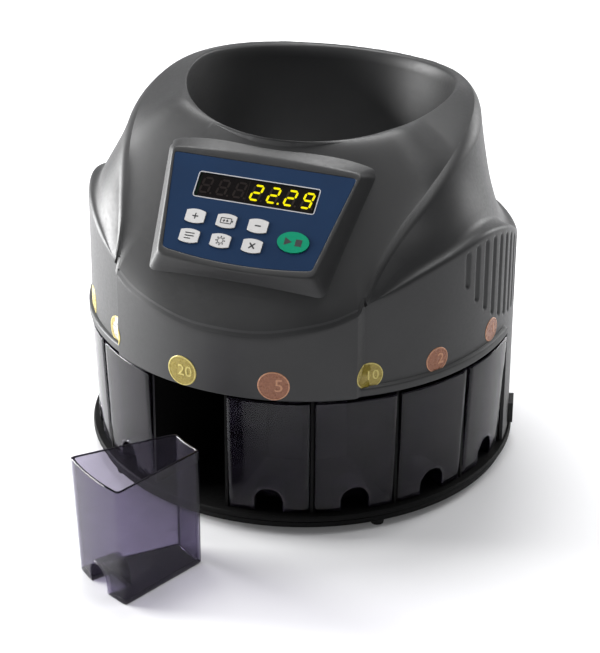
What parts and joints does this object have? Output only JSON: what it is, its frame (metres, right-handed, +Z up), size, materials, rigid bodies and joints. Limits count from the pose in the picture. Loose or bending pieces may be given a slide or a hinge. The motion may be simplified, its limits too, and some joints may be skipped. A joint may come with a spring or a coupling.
{
  "type": "coin sorting machine",
  "caption": "Round desktop coin sorter: open hopper, sloping keypad console, waisted hood, and a fan of pull-out smoky coin drawers on a low base.",
  "frame": {"origin": "on the table under the machine's vertical axis, which is the axis of the feed disc and the drawer fan", "axes": "+Z up, -Y towards the front (console and drawers), +X to the right seen from the front"},
  "size_m": [0.3154, 0.4329, 0.2705],
  "materials": {
    "aluminium": "brushed",
    "black_plastic": "satin",
    "circuit_board": "solder mask",
    "component_black": "moulded",
    "disc_plastic": "ribbed",
    "display": "lit segments on black",
    "hood_plastic": "fine satin texture",
    "key_green": "satin",
    "key_grey": "satin",
    "label_blue": "printed film",
    "lens": "tinted, polished",
    "rubber": "matt",
    "smoke_plastic": "clear smoky violet, polished",
    "steel": "turned",
    "sticker_print": "printed metallic film"
  },
  "bodies": {
    "chassis": {"hood": "hood_plastic", "base_plate": "black_plastic", "rubber_feet": "rubber", "drawer_frame": "black_plastic", "sort_deck": "black_plastic", "sorting_rail": "steel", "bearing_housing": "aluminium", "lower_bearing": "steel", "upper_bearing": "steel", "drive_belt": "rubber", "drive_motor": "steel", "motor_bracket": "steel", "coin_sensor": "component_black", "mains_transformer": "steel", "main_board": "circuit_board", "power_board": "circuit_board", "board_posts": "aluminium", "power_board_posts": "aluminium", "main_board_parts": "component_black", "power_board_parts": "component_black", "rear_panel": "black_plastic", "mains_inlet": "component_black", "switch_housing": "component_black", "fuse_holder": "component_black", "side_port": "black_plastic", "keypad_label": "label_blue", "display_lens": "lens", "display_module": "display", "keypad_board": "circuit_board", "key_switches": "component_black", "coin_stickers": "sticker_print"},
    "feed_disc": {"feed_disc": "disc_plastic", "coin_fingers": "rubber", "disc_hub": "aluminium", "disc_nut": "steel", "disc_shaft": "steel", "disc_pulley": "aluminium"},
    "motor_rotor": {"motor_shaft": "steel", "motor_pulley": "aluminium"},
    "power_rocker": {"power_rocker": "component_black"},
    "drawer_1": {"drawer_1": "smoke_plastic"},
    "drawer_2": {"drawer_2": "smoke_plastic"},
    "drawer_3": {"drawer_3": "smoke_plastic"},
    "drawer_4": {"drawer_4": "smoke_plastic"},
    "drawer_5": {"drawer_5": "smoke_plastic"},
    "drawer_6": {"drawer_6": "smoke_plastic"},
    "drawer_7": {"drawer_7": "smoke_plastic"},
    "drawer_8": {"drawer_8": "smoke_plastic"},
    "key_plus": {"key_plus": "key_grey"},
    "key_battery": {"key_battery": "key_grey"},
    "key_minus": {"key_minus": "key_grey"},
    "key_report": {"key_report": "key_grey"},
    "key_set": {"key_set": "key_grey"},
    "key_clear": {"key_clear": "key_grey"},
    "key_start_stop": {"key_start_stop": "key_green"}
  },
  "joints": [
    {"name": "disc_spin", "type": "hinge", "parent": "chassis", "child": "feed_disc", "pos_m": [0, 0, 0.1], "axis": [0, 0, 1], "continuous": true},
    {"name": "motor_spin", "type": "hinge", "parent": "chassis", "child": "motor_rotor", "pos_m": [0, 0.048, 0.06], "axis": [0, 0, 1], "continuous": true},
    {"name": "power_rock", "type": "hinge", "parent": "chassis", "child": "power_rocker", "pos_m": [0.013, 0.141, 0.041], "axis": [1, 0, 0], "range_deg": [0, 12]},
    {"name": "drawer_1_slide", "type": "slide", "parent": "chassis", "child": "drawer_1", "axis": [-0.9863, -0.165, 0], "range_m": [0, 0.078]},
    {"name": "drawer_2_slide", "type": "slide", "parent": "chassis", "child": "drawer_2", "axis": [-0.8434, -0.5373, 0], "range_m": [0, 0.078]},
    {"name": "drawer_3_slide", "type": "slide", "parent": "chassis", "child": "drawer_3", "axis": [-0.5664, -0.8241, 0], "range_m": [0, 0.078]},
    {"name": "drawer_4_lift", "type": "slide", "parent": "chassis", "child": "drawer_4", "axis": [0, 0, 1], "range_m": [0, 0.1]},
    {"name": "drawer_5_slide", "type": "slide", "parent": "chassis", "child": "drawer_5", "axis": [0.1994, -0.9799, 0], "range_m": [0, 0.078]},
    {"name": "drawer_6_slide", "type": "slide", "parent": "chassis", "child": "drawer_6", "axis": [0.5664, -0.8241, 0], "range_m": [0, 0.078]},
    {"name": "drawer_7_slide", "type": "slide", "parent": "chassis", "child": "drawer_7", "axis": [0.8434, -0.5373, 0], "range_m": [0, 0.078]},
    {"name": "drawer_8_slide", "type": "slide", "parent": "chassis", "child": "drawer_8", "axis": [0.9863, -0.165, 0], "range_m": [0, 0.078]},
    {"name": "key_plus_press", "type": "slide", "parent": "chassis", "child": "key_plus", "axis": [0, 0.6646, -0.7472], "range_m": [0, 0.0005], "stiffness_N_per_m": 2000},
    {"name": "key_battery_press", "type": "slide", "parent": "chassis", "child": "key_battery", "axis": [0, 0.6646, -0.7472], "range_m": [0, 0.0005], "stiffness_N_per_m": 2000},
    {"name": "key_minus_press", "type": "slide", "parent": "chassis", "child": "key_minus", "axis": [0, 0.6646, -0.7472], "range_m": [0, 0.0005], "stiffness_N_per_m": 2000},
    {"name": "key_report_press", "type": "slide", "parent": "chassis", "child": "key_report", "axis": [0, 0.6646, -0.7472], "range_m": [0, 0.0005], "stiffness_N_per_m": 2000},
    {"name": "key_set_press", "type": "slide", "parent": "chassis", "child": "key_set", "axis": [0, 0.6646, -0.7472], "range_m": [0, 0.0005], "stiffness_N_per_m": 2000},
    {"name": "key_clear_press", "type": "slide", "parent": "chassis", "child": "key_clear", "axis": [0, 0.6646, -0.7472], "range_m": [0, 0.0005], "stiffness_N_per_m": 2000},
    {"name": "key_start_stop_press", "type": "slide", "parent": "chassis", "child": "key_start_stop", "axis": [0, 0.6646, -0.7472], "range_m": [0, 0.0005], "stiffness_N_per_m": 2000}
  ],
  "couplings": [
    {"joint": "motor_spin", "follows": "disc_spin", "ratio": 3.4}
  ]
}
